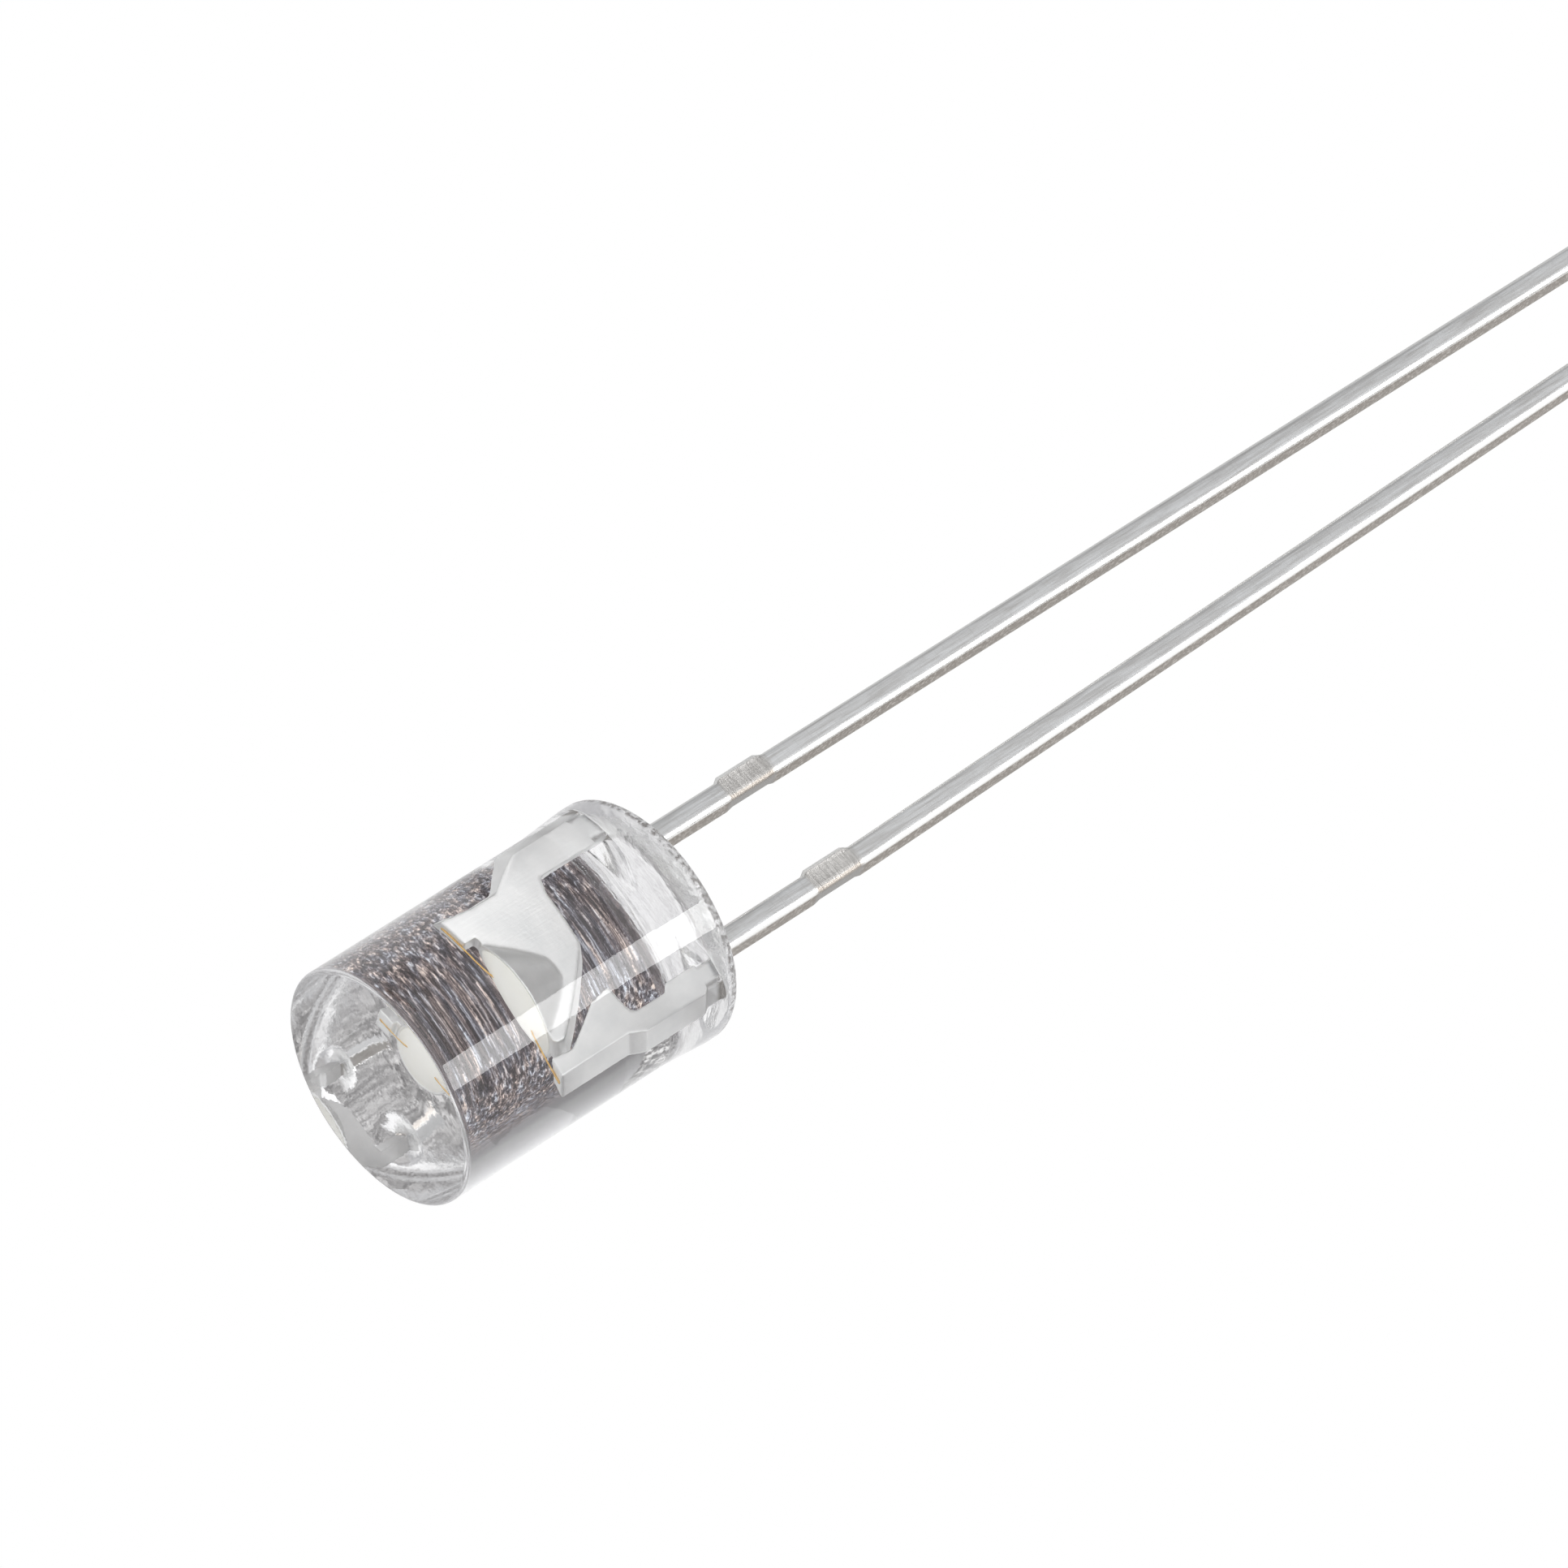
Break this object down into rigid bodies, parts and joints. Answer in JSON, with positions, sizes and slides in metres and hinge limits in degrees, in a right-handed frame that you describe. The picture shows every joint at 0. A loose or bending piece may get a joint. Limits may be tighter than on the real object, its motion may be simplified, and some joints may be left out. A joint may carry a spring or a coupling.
{
  "type": "through-hole led",
  "caption": "Clear round through-hole LED with a straight flangeless barrel, a flat front face and long plated leads.",
  "frame": {"origin": "centre of the base face, where the part seats on a board", "axes": "+Z along the barrel to the lens front, leads towards -Z, cathode and cup on the +X side, lead pair in the X-Z plane"},
  "size_m": [0.0052, 0.0052, 0.0353],
  "materials": {
    "clear_epoxy": "water-clear cast epoxy, gloss",
    "plated_lead": "bright plated steel, lightly drawn",
    "die_adhesive": "silver-filled adhesive, matte",
    "chip_crystal": "polished crystal",
    "phosphor": "pale yellow phosphor in clear resin, satin",
    "gold_wire": "bright drawn gold"
  },
  "bodies": {
    "root": {"lens_body": "clear_epoxy", "cathode_lead": "plated_lead", "anode_lead": "plated_lead", "die_attach": "die_adhesive", "led_chip": "chip_crystal", "phosphor_fill": "phosphor", "cathode_bond_wire": "gold_wire", "anode_bond_wire": "gold_wire"}
  },
  "joints": []
}
